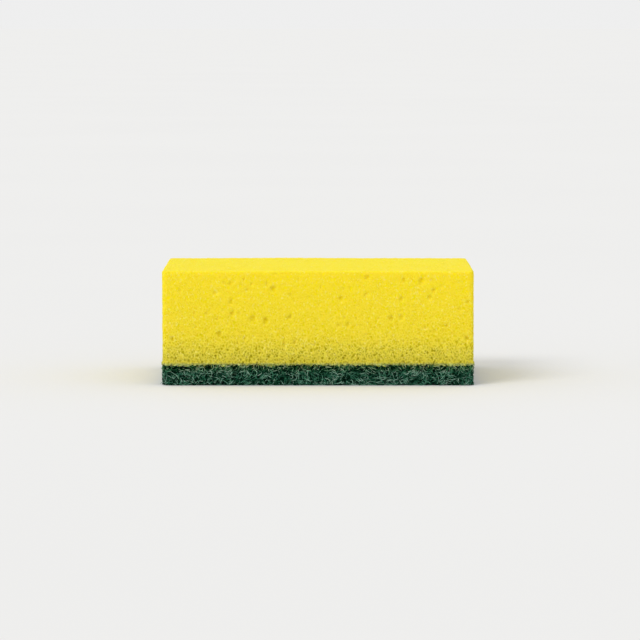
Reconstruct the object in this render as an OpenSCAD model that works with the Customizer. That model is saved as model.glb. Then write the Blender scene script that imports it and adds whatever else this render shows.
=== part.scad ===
// Cleaning sponge: an open-cell foam block with a scouring pad bonded under it.
// Millimetres, +Z up. The origin is the middle of the pad's underside, which the sponge rests on.

/* [Sponge] */
// Length of the sponge, along X
sponge_l = 95; // [70:1:150]
// Width of the sponge, along Y
sponge_w = 65; // [50:1:100]
// Height of the foam block
foam_h = 28.5; // [15:0.5:50]
// Thickness of the scouring pad
pad_h = 6.5; // [4:0.5:12]
// Radius of the four upright corners
corner_r = 1.5; // [0.5:0.25:4]

/* [Foam cells] */
// Side of the square of foam surface that holds one large open cell
cell_pitch = 4.4; // [3.8:0.2:8]
// Radius of the smallest of these cells
cell_r_min = 0.45; // [0.3:0.05:0.7]
// Radius of the biggest of these cells
cell_r_max = 1.4; // [0.9:0.05:1.6]
// Least wall of foam left between two cells
cell_wall = 0.25; // [0.15:0.05:0.4]
// How strongly small cells outnumber big ones
cell_bias = 2.5; // [1:0.5:5]

/* [Pad web] */
// Width of a bundle of fibres
fibre_w = 0.55; // [0.4:0.05:0.8]
// How far the outermost bundles stand out of the matted core
fibre_t = 0.4; // [0.3:0.05:0.8]
// Length of a bundle
fibre_l = 10; // [7:0.5:12]
// Radius of the most curled bundles
fibre_curl_r = 5; // [4.5:0.5:10]
// Area of the pad's underside for each bundle
under_area = 38; // [25:1:90]
// Area of a side wall of the pad for each bundle
side_area = 14; // [12:1:50]
// Steepest that a bundle climbs in a side wall, in degrees
side_slope = 16; // [5:1:30]

/* [Hidden] */
$fn = 24;
// Segments of the whole circle that a bundle is a short arc of
arc_fn = 96;
// Where the random choices start from
seed = 11;
// How far a cell's centre may lie above or below the cut surface, in radii
cell_offset = 0.35;
// How far a bundle is rooted in the core
root_t = 0.3;
// How much straighter the bundles lie in the side walls than on the underside
side_straighter = 3;

// Outline of the sponge from above, taken in by the given inset
module outline(inset = 0) {
    l = sponge_l - 2 * inset;
    w = sponge_w - 2 * inset;
    square([l - 2 * corner_r, w], center = true);
    square([l, w - 2 * corner_r], center = true);
    for (x = [-1, 1], y = [-1, 1])
        translate([x * (l / 2 - corner_r), y * (w / 2 - corner_r)]) circle(r = corner_r);
}

// Length of a side wall. The walls are numbered 0 front, 1 right, 2 back, 3 left.
function wall_l(i) = i % 2 == 0 ? sponge_l : sponge_w;

// Lays what is drawn looking along +Z onto a side wall, around the height mid_z
module on_wall(i, mid_z) {
    rotate([0, 0, 90 * i]) translate([0, -wall_l(i + 1) / 2, mid_z]) rotate([90, 0, 0]) children();
}

// One cell [x, y, z of its centre, radius] in each square of a grid over a face of a by b.
// A cell keeps to its square, so it keeps its wall to the next one, and small cells wander most.
function cell_field(a, b, face_seed) =
    let (edge = corner_r + cell_wall,
         na = floor((a - 2 * edge) / cell_pitch),
         nb = floor((b - 2 * edge) / cell_pitch),
         sa = (a - 2 * edge) / na,
         sb = (b - 2 * edge) / nb,
         u = rands(-1, 1, 4 * na * nb, face_seed))
    [for (i = [0 : na - 1], j = [0 : nb - 1])
        let (k = 4 * (i * nb + j),
             r = cell_r_min + (cell_r_max - cell_r_min) * pow(abs(u[k]), cell_bias),
             free_a = (sa - cell_wall) / 2 - r,
             free_b = (sb - cell_wall) / 2 - r)
        [edge - a / 2 + (i + 0.5) * sa + free_a * u[k + 1],
         edge - b / 2 + (j + 0.5) * sb + free_b * u[k + 2],
         cell_offset * r * u[k + 3],
         r]];

// The cells that a cut opens in a face of a by b
module cells(a, b, face_seed) {
    for (c = cell_field(a, b, face_seed))
        translate([c[0], c[1], c[2]]) sphere(r = c[3]);
}

module wall_cells(i) {
    on_wall(i, pad_h + foam_h / 2) cells(wall_l(i), foam_h, seed + 1 + i);
}

module foam_block() {
    color([0.95, 0.86, 0.22]) difference() {
        translate([0, 0, pad_h]) linear_extrude(foam_h) outline();
        translate([0, 0, pad_h + foam_h]) cells(sponge_l, sponge_w, seed);
        wall_cells(0);
        wall_cells(1);
        wall_cells(2);
        wall_cells(3);
    }
}

// A curled bundle of fibres seen flat: an arc of radius r and length fibre_l, with its middle at the origin
module fibre(r) {
    half_sweep = fibre_l / r * 90 / PI;
    reach = r + fibre_w;
    translate([-r, 0]) intersection() {
        difference() {
            circle(r = r + fibre_w / 2, $fn = arc_fn);
            circle(r = r - fibre_w / 2, $fn = arc_fn);
        }
        polygon([[0, 0], [reach, -reach * tan(half_sweep)], [reach, reach * tan(half_sweep)]]);
    }
}

// The outermost bundles on a face of a by b, in rows along X, cut off by the outline drawn as a child.
// steep is how far a bundle may turn away from X, and curl_r is the radius of the most curled one.
module web(a, b, area, steep, curl_r, face_seed) {
    n = floor(a * b / area);
    rows = round(b / sqrt(area));
    wander = sqrt(area) / 2;
    u = rands(-1, 1, 4 * n, face_seed);
    translate([0, 0, -fibre_t - root_t]) linear_extrude(fibre_t + root_t) intersection() {
        children();
        union() for (i = [0 : n - 1])
            translate([a * ((i + 0.5) / n - 0.5) + wander * u[4 * i],
                       b * ((i % rows + 0.5) / rows - 0.5) + wander * u[4 * i + 1]])
                rotate(90 * sign(u[4 * i + 2]) + steep * u[4 * i + 3])
                    fibre(curl_r * (1 + abs(u[4 * i + 2])));
    }
}

// The web on a side wall, between the rounded corners and above the web of the underside
module side_web(i) {
    l = wall_l(i) - 2 * corner_r;
    h = pad_h - fibre_t;
    on_wall(i, pad_h - h / 2)
        web(l, h, side_area, side_slope, side_straighter * fibre_curl_r, seed + 6 + i)
            square([l, h], center = true);
}

module scouring_pad() {
    color([0.05, 0.3, 0.22]) {
        translate([0, 0, fibre_t]) linear_extrude(pad_h - fibre_t) outline(fibre_t);
        rotate([180, 0, 0])
            web(sponge_l, sponge_w, under_area, 180, fibre_curl_r, seed + 5) outline(fibre_t);
        for (i = [0 : 3]) side_web(i);
    }
}

foam_block();
scouring_pad();
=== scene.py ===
import math

import bpy
import numpy as np
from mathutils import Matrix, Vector, noise
from mathutils.geometry import delaunay_2d_cdt
from mathutils.kdtree import KDTree


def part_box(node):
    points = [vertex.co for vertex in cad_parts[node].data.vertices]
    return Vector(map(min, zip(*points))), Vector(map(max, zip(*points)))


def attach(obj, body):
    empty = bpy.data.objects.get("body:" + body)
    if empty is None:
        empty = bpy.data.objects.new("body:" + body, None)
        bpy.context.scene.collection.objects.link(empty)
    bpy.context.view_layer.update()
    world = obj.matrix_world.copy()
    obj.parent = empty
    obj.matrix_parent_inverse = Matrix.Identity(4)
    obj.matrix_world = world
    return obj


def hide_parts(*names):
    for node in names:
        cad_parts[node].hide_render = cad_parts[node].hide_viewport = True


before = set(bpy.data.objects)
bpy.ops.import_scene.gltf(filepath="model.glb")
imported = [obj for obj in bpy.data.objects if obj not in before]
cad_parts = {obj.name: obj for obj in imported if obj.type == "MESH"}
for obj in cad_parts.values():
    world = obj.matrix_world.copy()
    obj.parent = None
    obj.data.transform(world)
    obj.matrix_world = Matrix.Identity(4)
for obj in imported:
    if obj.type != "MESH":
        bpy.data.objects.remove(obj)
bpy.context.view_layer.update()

# Places and lengths are in millimetres up to new_object(), which turns them into metres
MM = 0.001
scene = bpy.context.scene

foam_lo, foam_hi = (np.array(corner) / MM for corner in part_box("foam_block"))
HALF_L = (foam_hi[0] - foam_lo[0]) / 2
HALF_W = (foam_hi[1] - foam_lo[1]) / 2
PAD_TOP = foam_lo[2]
TOP = foam_hi[2]
# Radius of the four upright corners
CORNER_R = 1.5
# Radius of the foam's crisp upper edge
EDGE_R = 0.3
# The foam's cells are taller than wide, because foam rises as it sets
RISE = 1.2
# The height that the pad's topmost fibres and its dense inside reach, a little into the foam
WEB_TOP = PAD_TOP + 0.25
# A point of a mesh counts as on a border when it lies this close to it
ON_BORDER = 1e-4
# Points of the outline lie on straight steps of the corners' arcs, and so up to this far inside the arcs
HAIR = 0.01


# Camera and light

def look_at(obj, target):
    obj.rotation_euler = (Vector(target) - obj.location).to_track_quat("-Z", "Y").to_euler()


def make_camera():
    # The camera's distance from the middle of the sponge, in metres, and its angle above the horizontal
    distance = 1.2
    elevation = math.radians(4.5)
    # The photo shows the front face at this many pixels per millimetre, in a frame 640 pixels wide
    px_per_mm = 3.285
    frame_px = 640
    # The photographed sponge sits this much left of the frame's middle
    left_px = 2.0
    cam = bpy.data.cameras.new("camera")
    obj = bpy.data.objects.new("camera", cam)
    scene.collection.objects.link(obj)
    target = Vector((0.0, 0.0, TOP * MM / 2))
    obj.location = target + Vector((0, -distance * math.cos(elevation), distance * math.sin(elevation)))
    look_at(obj, target)
    cam.sensor_width = 36
    cam.lens = cam.sensor_width * px_per_mm / MM * (distance - HALF_W * MM) / frame_px
    cam.clip_end = 50
    cam.shift_x = left_px / frame_px
    scene.camera = obj


def make_light():
    """White light from all round, and a broad, slightly warm sun from the upper left and in front."""
    world = bpy.data.worlds.new("studio")
    world.use_nodes = True
    background = world.node_tree.nodes["Background"]
    background.inputs["Color"].default_value = (1.0, 1.0, 1.0, 1)
    background.inputs["Strength"].default_value = 0.86
    scene.world = world
    sun = bpy.data.lights.new("key", "SUN")
    sun.energy = 1.1
    sun.angle = math.radians(28)
    sun.color = (1.0, 0.985, 0.96)
    obj = bpy.data.objects.new("key", sun)
    scene.collection.objects.link(obj)
    # The sun shines from this direction
    obj.location = (-0.75, -0.9, 1.0)
    look_at(obj, (0, 0, 0))
    scene.view_settings.view_transform = "Standard"
    scene.view_settings.look = "None"


# Shader nodes

def nodes_of(name):
    """A new material, its node tree and its shader."""
    mat = bpy.data.materials.new(name)
    mat.use_nodes = True
    tree = mat.node_tree
    return mat, tree, tree.nodes["Principled BSDF"]


def feed(tree, socket, value):
    """Links a socket to the value, or sets it."""
    if isinstance(value, bpy.types.NodeSocket):
        tree.links.new(value, socket)
    else:
        socket.default_value = value


def node(tree, kind, inputs=None, **props):
    n = tree.nodes.new(kind)
    for key, value in props.items():
        setattr(n, key, value)
    for key, value in (inputs or {}).items():
        feed(tree, n.inputs[key], value)
    return n


def maths(tree, op, a, b=0.0, clamp=False):
    return node(tree, "ShaderNodeMath", {0: a, 1: b}, operation=op, use_clamp=clamp).outputs[0]


def plus(tree, a, b, clamp=False):
    return maths(tree, "ADD", a, b, clamp)


def minus(tree, a, b, clamp=False):
    return maths(tree, "SUBTRACT", a, b, clamp)


def times(tree, a, b, clamp=False):
    return maths(tree, "MULTIPLY", a, b, clamp)


def rgba(colour):
    """The colour with its alpha, where it is three numbers and not a socket."""
    return colour if isinstance(colour, bpy.types.NodeSocket) else (*colour, 1)


def mix_colour(tree, fac, a, b, blend="MIX"):
    inputs = {0: fac, 6: rgba(a), 7: rgba(b)}
    return node(tree, "ShaderNodeMix", inputs, data_type="RGBA", blend_type=blend).outputs[2]


def ramp(tree, fac, stops):
    n = node(tree, "ShaderNodeValToRGB", {0: fac})
    elements = n.color_ramp.elements
    while len(elements) < len(stops):
        elements.new(0.5)
    for element, (position, colour) in zip(elements, stops):
        element.position = position
        element.color = rgba(colour)
    return n.outputs[0]


def step_up(tree, value, zero_at, full_at, full=1.0, shape="SMOOTHSTEP"):
    """A factor that goes from 0 to full as the value goes from zero_at to full_at, either way along."""
    inputs = {0: value, 1: zero_at, 2: full_at, 3: 0.0, 4: full}
    return node(tree, "ShaderNodeMapRange", inputs, interpolation_type=shape).outputs[0]


def attribute(tree, name):
    return node(tree, "ShaderNodeAttribute", attribute_name=name).outputs["Fac"]


def coords(tree, scale=(1, 1, 1)):
    """Object coordinates in millimetres, stretched by the scale."""
    place = node(tree, "ShaderNodeTexCoord").outputs["Object"]
    return node(tree, "ShaderNodeMapping", {0: place, 3: tuple(v / MM for v in scale)}).outputs[0]


def height_of(tree):
    """Height above the floor in millimetres."""
    return node(tree, "ShaderNodeSeparateXYZ", {0: coords(tree)}).outputs[2]


def noise_node(tree, place, scale, **inputs):
    return node(tree, "ShaderNodeTexNoise", {"Vector": place, "Scale": scale, **inputs}).outputs["Fac"]


def surface(tree, bsdf, colour, roughness, specular):
    tree.links.new(colour, bsdf.inputs["Base Color"])
    bsdf.inputs["Roughness"].default_value = roughness
    bsdf.inputs["Specular IOR Level"].default_value = specular


def bump(tree, bsdf, height, strength, distance):
    """Roughens the shading by the height, with the distance in metres."""
    inputs = {"Height": height, "Strength": strength, "Distance": distance}
    tree.links.new(node(tree, "ShaderNodeBump", inputs).outputs[0], bsdf.inputs["Normal"])


# Materials

def foam_shade_to_pad(tree, height, mottle):
    """Painted shade, from 0 near the top to 1 at the pad: the foam is coloured darker, with darker pores,
    towards the pad, where it lies in shade.
    """
    # The painted shade begins at this height, stronger in one place than in another
    shade_from = 19.5
    low = step_up(tree, height, shade_from, PAD_TOP - 0.2)
    low = times(tree, low, plus(tree, mottle, 0.55), clamp=True)
    low = times(tree, low, low)
    # All of the foam is painted a little darker further down, as painted shade
    shade_drop = step_up(tree, height, TOP - 3, PAD_TOP + 8, 0.29, "LINEAR")
    return plus(tree, low, shade_drop, clamp=True)


def foam_colour(tree, place, hole, depth, painted_shade):
    """The foam's colour away from its lower edge."""
    # In the upper foam the deep pores are painted brighter and more saturated, painted light that offsets the
    # shade in them; in the painted shade towards the pad the pores are painted darker and olive, painted
    # shade in the cells.
    calm = ramp(tree, depth, [(0.0, (0.903, 0.725, 0.032)), (0.5, (0.900, 0.722, 0.009)),
                              (1.0, (0.940, 0.785, 0.001))])
    shaded_ramp = ramp(tree, depth, [(0.0, (0.765, 0.660, 0.060)), (0.3, (0.575, 0.487, 0.031)),
                               (0.7, (0.500, 0.422, 0.012)), (1.0, (0.470, 0.395, 0.005))])
    base = mix_colour(tree, painted_shade, calm, shaded_ramp)
    # Pale flecks, where struts stand up and catch the light
    fleck = step_up(tree, noise_node(tree, place, 1.5, Detail=2.0), 0.56, 0.72)
    fleck = times(tree, times(tree, fleck, 0.5), minus(tree, 1.0, hole))
    return mix_colour(tree, fleck, base, (0.92, 0.83, 0.22))


def foam_edge_colour(tree, height, base):
    """The base colour, with painted shade that is darkest just above the pad, and pale strut ends and dark
    gaps at its edge.
    """
    # Painted shade: the foam just above the pad lies in the pad's shade and is coloured darker
    shade_above_pad = times(tree, step_up(tree, height, PAD_TOP + 4.0, PAD_TOP + 0.6), 0.26)
    base = mix_colour(tree, shade_above_pad, base, (0.45, 0.38, 0.02))
    hem = times(tree, step_up(tree, height, PAD_TOP + 0.7, PAD_TOP - 0.3), 0.7)
    ends = step_up(tree, noise_node(tree, coords(tree), 1.5, Detail=1.0), 0.40, 0.60)
    return mix_colour(tree, hem, base, mix_colour(tree, ends, (0.19, 0.30, 0.08), (0.62, 0.77, 0.30)))


def foam_material():
    mat, tree, bsdf = nodes_of("yellow_foam")
    place = coords(tree, (1, 1, 1 / RISE))
    height = height_of(tree)
    mottle = noise_node(tree, place, 0.5, Detail=4.0, Roughness=0.6)
    # The finest cells, between those that the mesh has
    dots = node(tree, "ShaderNodeTexVoronoi", {"Vector": place, "Scale": 2.3}).outputs["Distance"]
    dots = minus(tree, 1.0, times(tree, dots, 2.0), clamp=True)
    hole = step_up(tree, attribute(tree, "pit"), 0.05, 0.85)
    depth = plus(tree, times(tree, hole, 0.85), times(tree, dots, 0.3), clamp=True)
    base = foam_colour(tree, place, hole, depth, foam_shade_to_pad(tree, height, mottle))
    surface(tree, bsdf, foam_edge_colour(tree, height, base), roughness=0.85, specular=0.1)
    # Light spreads furthest through the foam in its red part and least in its blue part
    bsdf.inputs["Subsurface Weight"].default_value = 0.5
    bsdf.inputs["Subsurface Radius"].default_value = (1.0, 0.8, 0.2)
    bsdf.inputs["Subsurface Scale"].default_value = 0.0014
    bump(tree, bsdf, minus(tree, times(tree, mottle, 0.5), dots), 0.6, 0.00025)
    return mat


def matting_material():
    mat, tree, bsdf = nodes_of("pad_matting")
    streak = noise_node(tree, coords(tree, (0.42, 0.42, 2.6)), 1.0, Detail=4.0, Distortion=1.2)
    clump = noise_node(tree, coords(tree), 0.35, Detail=3.0)
    mixed = plus(tree, times(tree, streak, 0.65), times(tree, clump, 0.35))
    # A very dark green: the pad's own green, darkened further as painted shade in the deep gaps between the
    # fibres
    base = ramp(tree, mixed, [(0.40, (0.0006, 0.004, 0.002)), (0.54, (0.002, 0.013, 0.007)),
                              (0.70, (0.008, 0.04, 0.022))])
    surface(tree, bsdf, base, roughness=0.8, specular=0.02)
    bump(tree, bsdf, mixed, 0.8, 0.0006)
    return mat


def fibre_material():
    mat, tree, bsdf = nodes_of("pad_fibre")
    height = height_of(tree)
    base = ramp(tree, attribute(tree, "tint"), [
        (0.0, (0.0004, 0.021, 0.009)), (0.35, (0.0068, 0.094, 0.046)), (0.7, (0.080, 0.285, 0.178)),
        (0.92, (0.24, 0.49, 0.36)), (1.0, (0.46, 0.62, 0.53))])
    # Yellow light from the foam tints the fibres next to it
    near_foam = times(tree, step_up(tree, height, PAD_TOP - 3.0, PAD_TOP + 0.2), 0.65)
    base = mix_colour(tree, near_foam, base, (1.0, 0.62, 0.10), "SOFT_LIGHT")
    # Crumbs of foam cling to the topmost fibres
    fringe = times(tree, step_up(tree, height, PAD_TOP - 0.6, PAD_TOP + 0.1), 0.45)
    base = mix_colour(tree, fringe, base, (0.46, 0.50, 0.11))
    surface(tree, bsdf, base, roughness=0.5, specular=0.03)
    return mat


def floor_material():
    mat, tree, bsdf = nodes_of("floor")
    grain = noise_node(tree, coords(tree), 0.003, Detail=2.0)
    base = mix_colour(tree, grain, (0.783, 0.783, 0.778), (0.803, 0.803, 0.798))
    surface(tree, bsdf, base, roughness=1.0, specular=0.0)
    return mat


# Mesh helpers

def new_object(name, verts, faces, attributes, material):
    mesh = bpy.data.meshes.new(name)
    mesh.from_pydata((np.asarray(verts) * MM).tolist(), [], np.asarray(faces).tolist())
    for key, values in attributes.items():
        mesh.attributes.new(key, "FLOAT", "POINT").data.foreach_set("value", np.asarray(values, np.float32))
    mesh.shade_smooth()
    mesh.materials.append(material)
    obj = bpy.data.objects.new(name, mesh)
    scene.collection.objects.link(obj)
    return obj


class Outline:
    """The sponge's outline from above, run through by its length s from the back wall's left end.

    It goes along the left wall, then the front, the right and the back.
    """

    def __init__(self):
        corners = ((-1, 1), (-1, -1), (1, -1), (1, 1))
        arc_steps = 12
        points, normals = [], []
        for k, (side_x, side_y) in enumerate(corners):
            middle = (side_x * (HALF_L - CORNER_R), side_y * (HALF_W - CORNER_R))
            for i in range(arc_steps + 1):
                turn = math.pi / 2 * (1 + k + i / arc_steps)
                normal = (math.cos(turn), math.sin(turn))
                points.append((middle[0] + CORNER_R * normal[0], middle[1] + CORNER_R * normal[1]))
                normals.append(normal)
        self.p = np.array(points + points[:1])
        self.n = np.array(normals + normals[:1])
        self.s = np.append(0, np.cumsum(np.linalg.norm(np.diff(self.p, axis=0), axis=1)))
        self.length = self.s[-1]

    def at(self, s):
        """Points and outward normals at the lengths s."""
        s = np.mod(s, self.length)
        p, n = (np.stack([np.interp(s, self.s, v[:, k]) for k in (0, 1)], -1) for v in (self.p, self.n))
        return p, n / np.linalg.norm(n, axis=-1, keepdims=True)

    def loop(self, step):
        """Points all round, about a step apart."""
        return self.at(np.linspace(0, self.length, round(self.length / step) + 1)[:-1])[0]

    def depth(self, xy):
        """How far inside the outline each point lies, and the outward direction there."""
        past = np.abs(xy) - (HALF_L - CORNER_R, HALF_W - CORNER_R)
        out = np.maximum(past, 0)
        length = np.linalg.norm(out, axis=1)
        d = CORNER_R - length - np.minimum(past.max(1), 0)
        at_corner = (past > 0).all(1)[:, None]
        axis = np.stack([past[:, 0] >= past[:, 1], past[:, 0] < past[:, 1]], 1).astype(float)
        n = np.where(at_corner, out / np.maximum(length, 1e-9)[:, None], axis)
        return d, n * np.where(xy < 0, -1, 1)

    def place(self, xy):
        """Length s of the outline's point nearest to each point, and how far outside it the point lies."""
        step = 0.25
        s = np.arange(0, self.length, step)
        line, normal = self.at(s)
        k = ((xy[:, None] - line) ** 2).sum(2).argmin(1)
        gap = xy - line[k]
        along = np.stack([-normal[k][:, 1], normal[k][:, 0]], 1)
        return s[k] + (gap * along).sum(1), (gap * normal[k]).sum(1)

    def lines(self, s, out, z):
        """Lines of points at the lengths s, this far outside the outline, at the heights z."""
        xy, n = self.at(s)
        return np.concatenate([xy + n * out[..., None], z[..., None]], -1)

    def at_seam(self, s):
        """Marks the lengths at the seam of an unrolled band, where the outline begins and ends."""
        return (s < ON_BORDER) | (s > self.length - ON_BORDER)


def with_z(xy, z):
    """Rows of x, y, z from rows of x, y and one height, or a height for each."""
    return np.column_stack([xy, np.broadcast_to(z, len(xy))])


def triangulate(points):
    """Delaunay triangles of points in a plane, as rows of three indices, counterclockwise."""
    merge_within, flat_area = 1e-7, 1e-9
    points = [Vector(p) for p in points]
    co, _, tri, origin, _, _ = delaunay_2d_cdt(points, [], [], 0, merge_within, True)
    origin = np.array([indices[0] for indices in origin])
    co = np.array([tuple(v) for v in co])
    tri = np.array(tri)
    a, b, c = (co[tri[:, k]] for k in range(3))
    area = (b[:, 0] - a[:, 0]) * (c[:, 1] - a[:, 1]) - (b[:, 1] - a[:, 1]) * (c[:, 0] - a[:, 0])
    tri[area < 0] = tri[area < 0][:, ::-1]
    return origin[tri[np.abs(area) > flat_area]]


def thin_out(points, apart):
    """Indices of the points that are each at least this far apart from those taken before."""
    grid, keep = {}, []
    least_sq = apart * apart
    around = [(dx, dy) for dx in (0, -1, 1) for dy in (0, -1, 1)]
    for i, (x, y) in enumerate(points.tolist()):
        gx, gy = int(x // apart), int(y // apart)
        if not any((px - x) ** 2 + (py - y) ** 2 < least_sq
                   for dx, dy in around for px, py in grid.get((gx + dx, gy + dy), ())):
            grid.setdefault((gx, gy), []).append((x, y))
            keep.append(i)
    return np.array(keep)


def noise_at(points, freq, seed, octaves=1):
    """Smooth noise about 0, with freq waves a millimetre or so. Each seed has its own stretch of it."""
    off = Vector((seed * 17.3, seed * 5.7, seed * 11.1))
    if octaves == 1:
        return np.array([noise.noise(Vector(p) * freq + off) for p in points])
    roughness, lacunarity = 0.7, 2.1
    return np.array([noise.fractal(Vector(p) * freq + off, roughness, lacunarity, octaves) for p in points])


def weld(verts, marked):
    """For each vertex the first one at its place, looked for among those marked."""
    reach = 0.02
    index = np.arange(len(verts))
    spots = np.flatnonzero(marked)
    tree = KDTree(len(spots))
    for i in spots:
        tree.insert(verts[i], i)
    tree.balance()
    for i in spots:
        index[i] = min(j for _, j, _ in tree.find_range(verts[i], reach))
    return index


def band_border(outline, low, high, step_low, step_high, rows):
    """Border points of a band around the outline, unrolled to length s by height."""
    def row(z, step):
        s = np.linspace(0, outline.length, round(outline.length / step) + 1)
        return np.stack([s, np.full(len(s), z)], 1)
    z_col = np.linspace(low, high, rows + 1)[1:-1]
    ends = [np.stack([np.full(rows - 1, s), z_col], 1) for s in (0, outline.length)]
    return np.concatenate([row(low, step_low), row(high, step_high), *ends])


def border_row(outline, band, z):
    """Indices of a band's points on its border at the height z, once round in the outline's order."""
    ring = np.flatnonzero((np.abs(band[:, 1] - z) < ON_BORDER) & (band[:, 0] < outline.length - ON_BORDER))
    return ring[np.argsort(band[ring, 0])]


def close_up(name, moved, faces, index, ring, hub, attributes, material):
    """Makes the object from a cup of faces and a fan from its rim, a loop of vertices, to a hub."""
    faces = index[faces]
    sound = (faces[:, 0] != faces[:, 1]) & (faces[:, 1] != faces[:, 2]) & (faces[:, 0] != faces[:, 2])
    ring = index[ring]
    fan = np.stack([np.full(len(ring), len(moved)), ring, np.roll(ring, -1)], 1)
    faces = np.concatenate([faces[sound], fan])
    moved = np.concatenate([moved, [hub]])
    used, inverse = np.unique(faces, return_inverse=True)
    attributes = {key: np.append(values, 0.0)[used] for key, values in attributes.items()}
    return new_object(name, moved[used], inverse.reshape(-1, 3), attributes, material)


def tubes(name, line, radius, attributes, material):
    """Thin three-sided tubes, closed at both ends, along lines in an array of fibres by points by xyz."""
    count, points, _ = line.shape
    sides = 3
    # The radius at the two ends, as a share of the radius between them
    tip = 0.45
    along = np.gradient(line, axis=1)
    along /= np.linalg.norm(along, axis=2, keepdims=True)
    # Any direction will do to start the sides from, as long as no fibre runs exactly along it
    side = np.cross(along, (0.31, 0.17, 0.94))
    side /= np.linalg.norm(side, axis=2, keepdims=True)
    over = np.cross(along, side)
    taper = np.ones(points)
    taper[[0, -1]] = tip
    thick = radius[:, None, None] * taper[None, :, None]
    turns = 2 * math.pi * np.arange(sides) / sides
    verts = np.stack([line + (math.cos(t) * side + math.sin(t) * over) * thick for t in turns], 2)
    start = (np.arange(count) * points * sides)[:, None, None] + (np.arange(points - 1) * sides)[:, None]
    a = start + np.arange(sides)
    b = start + (np.arange(sides) + 1) % sides
    walls = np.stack([a, b, b + sides, a, b + sides, a + sides], -1).reshape(-1, 3)
    first = start[:, 0] + (0, 2, 1)
    last = start[:, -1] + sides + (0, 1, 2)
    faces = np.concatenate([walls, first, last])
    attributes = {key: np.repeat(values, points * sides) for key, values in attributes.items()}
    return new_object(name, verts.reshape(-1, 3), faces, attributes, material)


# Foam

# Distances between two points along the foam's lower edge and along its upper edge
LOWER_STEP = 0.3
UPPER_STEP = 0.5
# No pore lies this close to the borders of the foam's charts
PORE_FREE = 0.2
# The side walls reach up to the crisp edge
SIDE_TOP = TOP - EDGE_R


def scatter_cells(rng):
    """Large open cells [x, y, z, r] in the foam's cut faces, the biggest first, each clear of the others."""
    tries = 900
    # Small cells outnumber big ones the more, the higher the bias
    r_lo, r_hi, bias = 0.45, 1.0, 2.4
    # Least distance between the middles of two cells, as a share of their radii together
    spacing = 1.3
    # A cell's middle keeps from a crisp edge by this share of its radius, and by the edge's own radius
    edge_share = 1.3
    h = TOP - PAD_TOP
    # The faces are the top, the front, the back and the two ends
    areas = np.array([4 * HALF_L * HALF_W, 2 * HALF_L * h, 2 * HALF_L * h, 2 * HALF_W * h, 2 * HALF_W * h])
    face = rng.choice(5, tries, p=areas / areas.sum())
    radii = np.sort(r_lo + (r_hi - r_lo) * rng.random(tries) ** bias)[::-1]
    kept = np.zeros((0, 4))
    for f, r, (a, b, c) in zip(face, radii, rng.random((tries, 3))):
        # The middle lies outside the face, by 0.06 to 0.72 of the radius
        out = r * (0.72 - 0.66 * c)
        x, y, z = (2 * a - 1) * HALF_L, (2 * b - 1) * HALF_W, PAD_TOP + b * h
        y_end = (2 * a - 1) * HALF_W
        p = np.array(((x, y, TOP + out), (x, -HALF_W - out, z), (x, HALF_W + out, z),
                      (-HALF_L - out, y_end, z), (HALF_L + out, y_end, z))[f])
        walls = np.sort(np.abs((HALF_L - abs(p[0]), HALF_W - abs(p[1]), TOP - p[2])))
        if math.hypot(walls[0], walls[1]) < edge_share * r + EDGE_R:
            continue
        gap = np.linalg.norm((kept[:, :3] - p) / (1, 1, RISE), axis=1)
        if (gap > spacing * (kept[:, 3] + r)).all():
            kept = np.concatenate([kept, [(*p, r)]])
    return kept


def mouths(rng, u, v, off, r):
    """Points on and in the mouths of large cells in a flat face, and the mouths [u, v, radius] themselves."""
    least_r = 0.3
    # Each ring of points has a share of the mouth's radius and the distance between two of its points
    ring_kinds = ((1.0, 0.42), (0.86, 0.5), (0.45, 0.6))
    rings = []
    mouth_r = np.sqrt(np.maximum(r ** 2 - off ** 2, 0))
    for i in np.flatnonzero(mouth_r > least_r):
        turn = rng.random()
        for share, apart in ring_kinds:
            ring_r = share * mouth_r[i]
            n = max(4, round(2 * math.pi * ring_r / apart))
            t = 2 * math.pi * (np.arange(n) + turn) / n
            rings.append(np.stack([u[i] + ring_r * np.cos(t), v[i] + ring_r * np.sin(t)], 1))
    return np.concatenate(rings), np.stack([u, v, mouth_r], 1)[mouth_r > least_r]


def scatter(rng, lo, hi, tries, apart):
    """Random points over a rectangle, each at least this far apart from the others."""
    points = rng.random((tries, 2)) * (hi - lo) + lo
    return points[thin_out(points, apart)]


def clear_of(points, others, gap):
    """Marks the points that lie further than the gap from all the others."""
    tree = KDTree(len(others))
    for i, (x, y) in enumerate(others):
        tree.insert((x, y, 0), i)
    tree.balance()
    return [tree.find((x, y, 0))[2] > gap for x, y in points]


def pore_middles(rng, lo, hi, wide):
    """Middles of pores over a rectangle, clear of the large cells' mouths, and how strong each pore is."""
    # Bold pores first, then fine ones in the gaps, each with the least distance between two of them
    bold_apart = 0.78
    fine_apart = 0.45
    fine_to_bold = 0.53
    mouth_wall = 0.25
    # Tries for each square millimetre: few for bold pores, so that they lie thinly, and plenty for fine ones
    bold_tries = 1.1
    fine_tries = 6 / fine_apart ** 2
    # Mean and spread of the strengths
    bold_power = (0.70, 0.26)
    fine_power = (0.46, 0.18)
    area = np.prod(hi - lo)
    bold = scatter(rng, lo, hi, int(bold_tries * area), bold_apart)
    fine = scatter(rng, lo, hi, int(fine_tries * area), fine_apart)
    fine = fine[clear_of(fine, bold, fine_to_bold)]
    mids = np.concatenate([bold, fine])
    power = np.concatenate([rng.normal(*bold_power, len(bold)), rng.normal(*fine_power, len(fine))])
    for u, v, mouth_r in wide:
        far = np.hypot(mids[:, 0] - u, mids[:, 1] - v) > mouth_r + mouth_wall
        mids, power = mids[far], power[far]
    return mids, power


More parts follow.
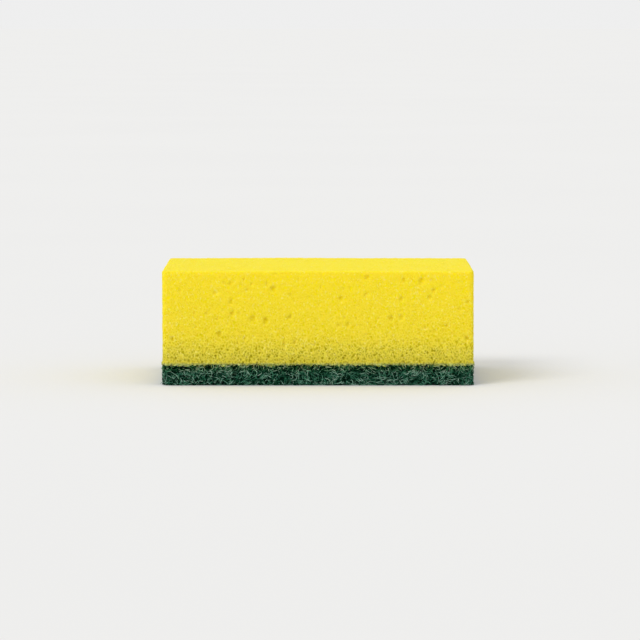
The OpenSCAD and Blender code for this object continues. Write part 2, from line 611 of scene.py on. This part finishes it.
def circle_middles(points, tri):
    """The middle and the radius of the circle through each triangle's corners."""
    a, b, c = (points[tri[:, k]] for k in range(3))
    ab, ac = b - a, c - a
    twice = 2 * (ab[:, 0] * ac[:, 1] - ab[:, 1] * ac[:, 0])
    ab_sq, ac_sq = (ab ** 2).sum(1), (ac ** 2).sum(1)
    x = (ac[:, 1] * ab_sq - ab[:, 1] * ac_sq) / twice
    y = (ab[:, 0] * ac_sq - ac[:, 0] * ab_sq) / twice
    return a + np.stack([x, y], 1), np.hypot(x, y)


def strut_points(mids, power):
    """Points of the net of struts between pores: its junctions, and one more on some struts."""
    # Junctions further than this from their pores are left out; they lie at borders and large cells
    longest_reach = 1.1
    # Two pores count as close when the strut between them is longer than this share of their distance,
    # and as strong when their strengths together are more than this
    close_share = 0.9
    strong_pair = 1.05
    tri = triangulate(mids)
    joints, reach = circle_middles(mids, tri)
    # Two triangles with a common side have the two ends of a strut
    ends = np.sort(np.concatenate([tri[:, [0, 1]], tri[:, [1, 2]], tri[:, [2, 0]]]), axis=1)
    order = np.lexsort(ends.T)
    ends, owner = ends[order], np.tile(np.arange(len(tri)), 3)[order]
    twin = np.flatnonzero((ends[1:] == ends[:-1]).all(1))
    p, q = mids[ends[twin, 0]], mids[ends[twin, 1]]
    strut = joints[owner[twin]] - joints[owner[twin + 1]]
    # Where two strong pores lie close together, the strut between them gets a point of its own
    split = np.linalg.norm(strut, axis=1) > close_share * np.linalg.norm(p - q, axis=1)
    split &= power[ends[twin]].sum(1) > strong_pair
    return np.concatenate([joints[reach < longest_reach], (p + q)[split] / 2])


def cup_floors(rng, mids, power):
    """The pores, with a ring of points added round the middle of each strong one, so that it is a cup."""
    cup_power = 0.86
    ring_share = 0.85
    sides = 5
    floor_r = 0.17
    cups = power > cup_power
    t = 2 * math.pi * (np.arange(sides) / sides + rng.random((cups.sum(), 1)))
    floors = mids[cups][:, None] + floor_r * np.stack([np.cos(t), np.sin(t)], -1)
    mids = np.concatenate([mids, floors.reshape(-1, 2)])
    return mids, np.concatenate([power, ring_share * np.repeat(power[cups], sides)])


def chart_points(rng, border, lo, hi, wide_cells, clear):
    """All points of a chart, and for each how strong a pore it is the middle of, or 0."""
    apart = 0.15
    weakest, strongest = 0.08, 1.3
    rims, wide = mouths(rng, *wide_cells)
    mids, power = pore_middles(rng, lo, hi, wide)
    joints = strut_points(mids, power)
    mids, power = cup_floors(rng, mids, power)
    power = np.clip(power, weakest, strongest)
    rims, joints = rims[clear(rims)], joints[clear(joints)]
    mids, power = mids[clear(mids)], power[clear(mids)]
    points = np.concatenate([border, rims, mids, joints])
    power = np.concatenate([np.zeros(len(border) + len(rims)), power, np.zeros(len(joints))])
    keep = thin_out(points, apart)
    return points[keep], power[keep]


def side_chart(rng, outline, cells):
    """Points of the side walls, as length by height, with their pores' strengths and their triangles."""
    # Heights are squashed while the net is made, so that the cells are round in it
    squash = np.array((1, 1 / RISE))
    rows = 56
    border = band_border(outline, PAD_TOP, SIDE_TOP, LOWER_STEP, UPPER_STEP, rows) * squash
    lo = np.array((PORE_FREE, PAD_TOP + PORE_FREE)) * squash
    hi = np.array((outline.length - PORE_FREE, SIDE_TOP - PORE_FREE)) * squash
    s, out = outline.place(cells[:, :2])
    near = np.abs(out) < cells[:, 3]
    wide = (np.mod(s[near], outline.length), cells[near, 2] / RISE, out[near], cells[near, 3])
    side, pore = chart_points(rng, border, lo, hi, wide, lambda p: (p > lo).all(1) & (p < hi).all(1))
    return side / squash, pore, triangulate(side)


def top_chart(rng, outline, cells):
    """Points of the top face, as its plan, with their pores' strengths and their triangles."""
    above = (cells[:, 2] - TOP) / RISE
    near = np.abs(above) < cells[:, 3]
    wide = (cells[near, 0], cells[near, 1], above[near], cells[near, 3])
    half = np.array((HALF_L, HALF_W))
    top, pore = chart_points(rng, outline.loop(UPPER_STEP), -half, half, wide,
                             lambda p: outline.depth(p)[0] > PORE_FREE)
    return top, pore, triangulate(top)


def dig(points, inward, cells):
    """How far each point moves inward until it lies outside all cells."""
    squash = np.array((1, 1, 1 / RISE))
    # A cell counts as open to a point that lies this little outside it
    touch = 1e-6
    start, ray = points * squash, inward * squash
    ray_sq = (ray ** 2).sum(1)
    # The way inward enters and leaves a cell at the two roots of a quadratic equation
    spans = {}
    for *middle, r in cells:
        gap = start - middle * squash
        near = np.flatnonzero((gap ** 2).sum(1) < (2 * r) ** 2)
        half_b = (gap[near] * ray[near]).sum(1)
        square = half_b * half_b - ray_sq[near] * ((gap[near] ** 2).sum(1) - r ** 2)
        hit = square > 0
        for i, b, root in zip(near[hit], half_b[hit], np.sqrt(square[hit])):
            spans.setdefault(i, []).append(((-b - root) / ray_sq[i], (-b + root) / ray_sq[i]))
    depth = np.zeros(len(points))
    for i, cuts in spans.items():
        for enter, leave in sorted(cuts):
            if enter <= depth[i] + touch:
                depth[i] = max(depth[i], leave)
    return depth


def foam_surface(outline, verts, inward, pore, cells):
    """The vertices moved from a plain block into the foam's surface, and how deep in a hole each lies."""
    # The large cells aren't quite round
    uneven = 0.16 * np.stack([noise_at(verts, 1.4, seed) for seed in (11, 12, 13)], 1)
    depth = dig(verts + uneven, inward, cells)
    # The pores are dents, which get deeper from this height above the pad downwards. A point that has moved
    # in by more than dug lies in a large cell, and these have no dents.
    deepen_from = 20
    calm_dent, extra_dent = 0.14, 0.36
    dug = 0.05
    above_pad = verts[:, 2] - PAD_TOP
    strength = pore * (depth < dug)
    near_pad = np.clip(1 - above_pad / deepen_from, 0, 1)
    dent = strength * (calm_dent + extra_dent * near_pad ** 2)
    # The crisp upper edge has nicks of up to this depth, over this width on both its sides
    nick_depth, nick_w = 0.35, 0.9
    edge = np.hypot(TOP - verts[:, 2], outline.depth(verts[:, :2])[0])
    nicks = nick_depth * np.clip(1 - edge / nick_w, 0, 1) * np.clip(noise_at(verts, 1.1, 9) + 0.1, 0, 1)
    # The faces aren't quite flat
    sway = 0.12 * noise_at(verts, 0.045, 3) + 0.09 * noise_at(verts, 0.9, 4) + 0.04
    deep = depth + dent + sway + nicks
    moved = verts + inward * deep[:, None]
    # The lower edge is ragged up to this height, and bulges over the pad here and there
    ragged_h = 0.6
    hem = np.clip(1 - above_pad / ragged_h, 0, 1)
    flat = verts * (1, 1, 0)
    moved[:, 2] += hem * (0.45 * noise_at(flat, 0.4, 5) + 0.75 * noise_at(flat, 1.9, 6) - 0.2)
    moved -= inward * (hem * 0.2 * (1 + noise_at(verts, 1.3, 8)))[:, None]
    return moved, np.clip(strength + 0.7 * depth, 0, 1)


def foam_piece(material):
    rng = np.random.default_rng(7)
    outline = Outline()
    cells = scatter_cells(rng)
    side, side_pore, side_faces = side_chart(rng, outline, cells)
    top, top_pore, top_faces = top_chart(rng, outline, cells)

    side_xy, side_out = outline.at(side[:, 0])
    inside, top_out = outline.depth(top)
    inside[inside < HAIR] = 0
    # The top face curves down over the edge's radius
    over = np.clip(EDGE_R - inside, 0, EDGE_R)
    up = np.sqrt(EDGE_R ** 2 - over ** 2)
    verts = np.concatenate([with_z(side_xy, side[:, 1]), with_z(top, SIDE_TOP + up)])
    inward = np.concatenate([with_z(-side_out, 0), with_z(-top_out * (over / EDGE_R)[:, None], -up / EDGE_R)])
    faces = np.concatenate([side_faces, top_faces + len(side)])
    marked = np.abs(verts[:, 2] - SIDE_TOP) < ON_BORDER
    marked[:len(side)] |= outline.at_seam(side[:, 0])
    index = weld(verts, marked)
    moved, pit = foam_surface(outline, verts, inward, np.concatenate([side_pore, top_pore]), cells)
    ring = border_row(outline, side, PAD_TOP)[::-1]
    return close_up("foam", moved, faces, index, ring, (0, 0, PAD_TOP + 0.2), {"pit": pit}, material)


def whisker_piece(material):
    """Loose ends of the foam's struts that hang over the pad."""
    rng = np.random.default_rng(61)
    outline = Outline()
    count, points = 1500, 5
    s0 = rng.random(count) * outline.length
    t = np.linspace(0, 1, points)
    # Most are short, from 0.35 mm up, and few are long
    length = 0.35 + 1.1 * rng.random(count) ** 2.2
    # Each starts out one way and bends another
    lean = rng.normal(0, 0.9, (count, 1)) + rng.normal(0, 0.9, (count, 1)) * t
    s = s0[:, None] + length[:, None] * np.sin(lean) * t
    z = PAD_TOP + 0.3 - length[:, None] * np.cos(lean) * t
    out = 0.02 + 0.3 * rng.random((count, 1)) * np.sin(math.pi * 0.7 * t)
    radius = 0.035 + 0.05 * rng.random(count)
    pit = 0.25 * rng.random(count)
    return tubes("foam_whiskers", outline.lines(s, out, z), radius, {"pit": pit}, material)


# Pad

def matting_piece(material):
    """The pad's dense inside, coloured dark as painted shade between its outer fibres."""
    rng = np.random.default_rng(17)
    outline = Outline()
    low = 0.12
    border_step = 0.42
    # Least distance between two points, on the walls and underneath
    side_apart, under_apart = 0.3, 0.4
    # Points that aren't on a border keep this far from it, on the walls and underneath
    margin, rim_gap = 0.2, 0.3
    # How deep the surface lies at its shallowest and at its deepest
    shallow, deepest = 0.25, 1.7
    rows = 16
    side_tries, under_tries = 40000, 60000
    border = band_border(outline, low, WEB_TOP, border_step, border_step, rows)
    size = (outline.length - 2 * margin, WEB_TOP - low - 2 * margin)
    fill = rng.random((side_tries, 2)) * size + (margin, low + margin)
    side = np.concatenate([border, fill])
    side = side[thin_out(side, side_apart)]
    side_xy, side_out = outline.at(side[:, 0])
    fill = (rng.random((under_tries, 2)) * 2 - 1) * (HALF_L, HALF_W)
    fill = fill[outline.depth(fill)[0] > rim_gap]
    under = np.concatenate([outline.loop(border_step), fill])
    under = under[thin_out(under, under_apart)]
    inside, under_out = outline.depth(under)
    verts = np.concatenate([with_z(side_xy, side[:, 1]), with_z(under, low)])
    faces = np.concatenate([triangulate(side), triangulate(under)[:, ::-1] + len(side)])

    # The way inward turns from level to upright over this width along the lower edge
    edge_w = 0.8
    edge = np.clip(1 - inside / edge_w, 0, 1)[:, None]
    inward = np.concatenate([with_z(-side_out, 0),
                             (0, 0, 1) * (1 - 0.5 * edge) + with_z(-under_out, 0) * edge])
    on_edge = np.abs(side[:, 1] - low) < ON_BORDER
    # The walls' lowest points move up a little too
    inward[:len(side)][on_edge, 2] = 0.4
    index = weld(verts, np.concatenate([on_edge | outline.at_seam(side[:, 0]), inside < HAIR]))
    # The surface is lumpy, with lumps that lie flat
    lumps = noise_at(verts * (0.6, 0.6, 1.3), 0.55, 21, 4)
    deep = np.clip(0.75 - 0.55 * lumps + 0.12 * noise_at(verts, 2.4, 22), shallow, deepest)
    moved = verts + inward * deep[:, None]
    ring = border_row(outline, side, WEB_TOP)
    return close_up("pad_matting", moved, faces, index, ring, (0, 0, WEB_TOP), {}, material)


def clumped(rng, place, count, mean, swing, freq, seed):
    """Indices of up to count of the places, chosen so that they are thick here and thin there."""
    least = 0.08
    chance = np.clip(mean + swing * noise_at(place, freq, seed, 3), least, 1)
    return np.flatnonzero(rng.random(len(place)) < chance)[:count]


def curls(rng, points, length, heading, curl):
    """Curled lines in a plane, each with its middle at the origin: arrays of fibres by points by uv."""
    count = len(heading)
    step = (length[0] + (length[1] - length[0]) * rng.random(count)) / (points - 1)
    # Each line curls one way, and wanders from that more and more
    turn = rng.normal(0, curl, (count, 1)) + rng.normal(0, curl * 0.8, (count, points - 1)).cumsum(1) / 2
    angle = heading[:, None] + (turn * step[:, None]).cumsum(1)
    uv = np.stack([np.cos(angle), np.sin(angle)], -1) * step[:, None, None]
    uv = np.concatenate([np.zeros((count, 1, 2)), uv.cumsum(1)], 1)
    return uv - uv[:, points // 2][:, None]


def fold(values, low, high):
    """The values mirrored at both limits, so that none lies past them."""
    values = low + np.abs(values - low)
    return high - np.abs(high - values)


def waves(rng, count, points, low, high):
    """A smooth height between low and high along each fibre."""
    t = np.linspace(0, 1, points)
    phase, rate, mid = rng.random((3, count, 1))
    # Each fibre has between 0.4 and 1.5 waves
    wave = np.sin(2 * math.pi * (phase + (0.4 + 1.1 * rate) * t))
    return low + (high - low) * (0.25 + 0.5 * mid + 0.25 * wave)


def tints(rng, outness):
    """Fibre colours from 0, dark, to 1, pale: the outer fibres catch more light, and a few are very pale."""
    count = len(outness)
    palest, very_pale = 0.95, 1.0
    tint = np.clip(0.66 * outness + rng.normal(0.01, 0.48, count), 0, palest)
    tint[rng.random(count) < 0.007] = very_pale
    return tint


def side_fibres(material):
    rng = np.random.default_rng(31)
    outline = Outline()
    tries, most, points = 28000, 11000, 6
    shortest, longest = 1.2, 3.7
    # How far outside the outline the fibres lie
    lowest, highest = -1.1, 0.15
    # Their middles lie from 0.15 mm above the floor to 0.1 mm below the web's top
    s0 = rng.random(tries) * outline.length
    z0 = 0.15 + rng.random(tries) * (WEB_TOP - 0.25)
    # The web is thick here and thin there, in patches longer than they are tall, and neighbouring fibres
    # run much alike
    place = with_z(np.column_stack([s0, z0 * 2.2]), 0)
    keep = clumped(rng, place, most, 0.5, 0.45, 0.33, 32)
    s0, z0, place, count = s0[keep], z0[keep], place[keep], len(keep)
    tilt = 1.4 * noise_at(place, 0.16, 33) + rng.normal(0, 0.5, count)
    # Some lie any way
    loose = rng.random(count) < 0.16
    tilt[loose] = rng.normal(0, 1.0, loose.sum())
    uv = curls(rng, points, (shortest, longest), tilt, 0.48)
    s = s0[:, None] + uv[..., 0]
    floor_gap = 0.14
    z = fold(z0[:, None] + uv[..., 1], floor_gap, WEB_TOP)
    out = waves(rng, count, points, lowest, highest)
    # A few ends stand out of the web
    stray = rng.random(count) < 0.05
    out[stray] += np.linspace(0, 1, points) ** 2 * (0.3 + 0.6 * rng.random((stray.sum(), 1)))
    line = outline.lines(s, out, z)
    radius = 0.066 + 0.054 * rng.random(count)
    tint = tints(rng, (out.mean(1) - lowest) / (highest - lowest))
    # The front and the right wall lie one after the other along the outline
    front = (s0 > 2 * HALF_W) & (s0 < 4 * HALF_W + 2 * HALF_L)
    return [tubes("pad_fibres_" + key, line[m], radius[m], {"tint": tint[m]}, material)
            for key, m in (("front_right", front), ("back_left", ~front))]


def under_fibres(material):
    rng = np.random.default_rng(41)
    tries, most, points = 14000, 4530, 8
    shortest, longest = 5.0, 13.0
    # The fibres' heights above the floor
    lowest, highest = 0.15, 1.1
    half = np.array((HALF_L, HALF_W))
    # Least distance from the pad's edges, of the fibres' middles and of all their points
    middle_inset, inset = 0.8, 0.25
    start = (rng.random((tries, 2)) * 2 - 1) * (half - middle_inset)
    place = with_z(start, 0)
    keep = clumped(rng, place, most, 0.4, 0.8, 0.22, 42)
    start, place, count = start[keep], place[keep], len(keep)
    heading = 2.5 * noise_at(place, 0.08, 43) + rng.normal(0, 0.7, count)
    xy = start[:, None] + curls(rng, points, (shortest, longest), heading, 0.2)
    xy = fold(xy, inset - half, half - inset)
    z = waves(rng, count, points, lowest, highest)
    line = np.concatenate([xy, z[..., None]], -1)
    radius = 0.09 + 0.05 * rng.random(count)
    tint = tints(rng, (highest - z.mean(1)) / (highest - lowest))
    return tubes("pad_fibres_under", line, radius, {"tint": tint}, material)


# Stage

def floor_piece():
    half = 40000
    corners = [(x * half, y * half, 0) for x, y in ((-1, -1), (1, -1), (1, 1), (-1, 1))]
    new_object("floor", corners, [(0, 1, 2, 3)], {}, floor_material())


make_camera()
make_light()
floor_piece()

yellow_foam = foam_material()
foam = foam_piece(yellow_foam)
whiskers = whisker_piece(yellow_foam)
matting = matting_piece(matting_material())
fibre = fibre_material()
fibres = side_fibres(fibre) + [under_fibres(fibre)]

for piece in (foam, whiskers):
    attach(piece, "root")
for piece in [matting] + fibres:
    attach(piece, "root")
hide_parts("foam_block")
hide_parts("scouring_pad")
